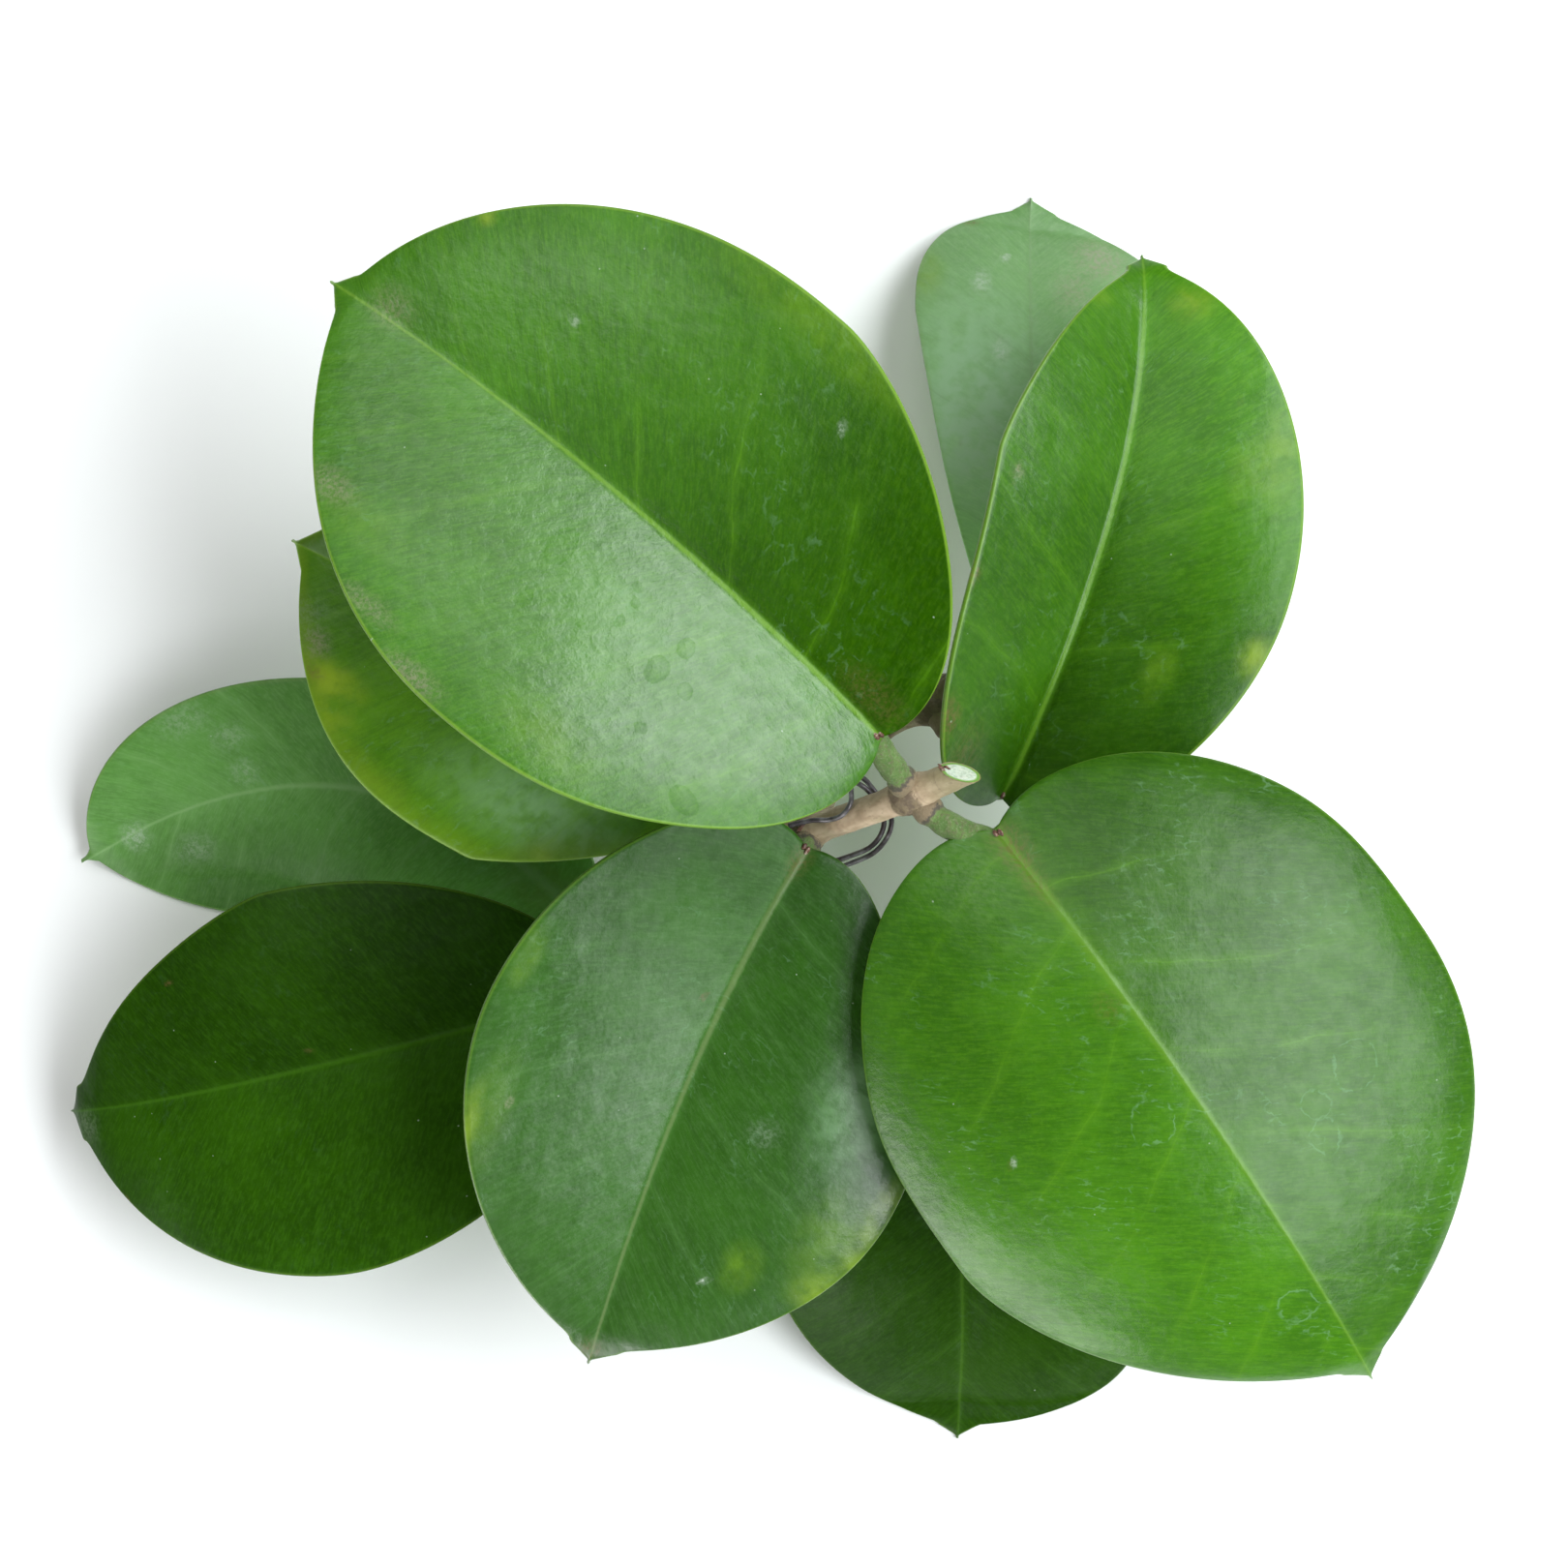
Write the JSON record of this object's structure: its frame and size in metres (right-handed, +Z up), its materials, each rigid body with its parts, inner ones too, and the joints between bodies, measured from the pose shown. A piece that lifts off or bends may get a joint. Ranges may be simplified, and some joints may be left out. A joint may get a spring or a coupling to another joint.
{
  "type": "hoya vine cutting",
  "caption": "Cut piece of a climbing hoya with thick pointed oval leaves on short woody shoots and a loose twist of wire, lying on a surface.",
  "frame": {"origin": "under the middle of the vine's outer box, on the surface it lies on", "axes": "+Z up, the way the leaf tops face; +X along the widest spread of the leaves; +Y across that spread"},
  "size_m": [0.1934, 0.1767, 0.0789],
  "materials": {
    "leaf_blade": "waxy mid green leaf, paler midrib and margin, dull sheen",
    "leaf_blade_yellowing": "waxy olive green leaf that yellows towards its margin",
    "leaf_blade_shaded": "waxy dark green leaf, dull sheen",
    "leaf_blade_dusty": "greyish green leaf with a dusty bloom",
    "stem_front": "tan bark with corky nodes and a pale green cut end",
    "stem_side": "brown bark",
    "tie_wire": "dark grey drawn wire"
  },
  "bodies": {
    "root": {"stem_front_shoot": "stem_front", "stem_side_shoot": "stem_side", "leaf_front_upper": "leaf_blade", "leaf_front_lower": "leaf_blade", "leaf_middle_lower": "leaf_blade", "leaf_middle_left": "leaf_blade_yellowing", "leaf_back_left": "leaf_blade", "leaf_back_lower": "leaf_blade_shaded", "leaf_side_folded": "leaf_blade", "leaf_side_back": "leaf_blade_dusty", "leaf_under": "leaf_blade_shaded", "wire_tie": "tie_wire"}
  },
  "joints": []
}
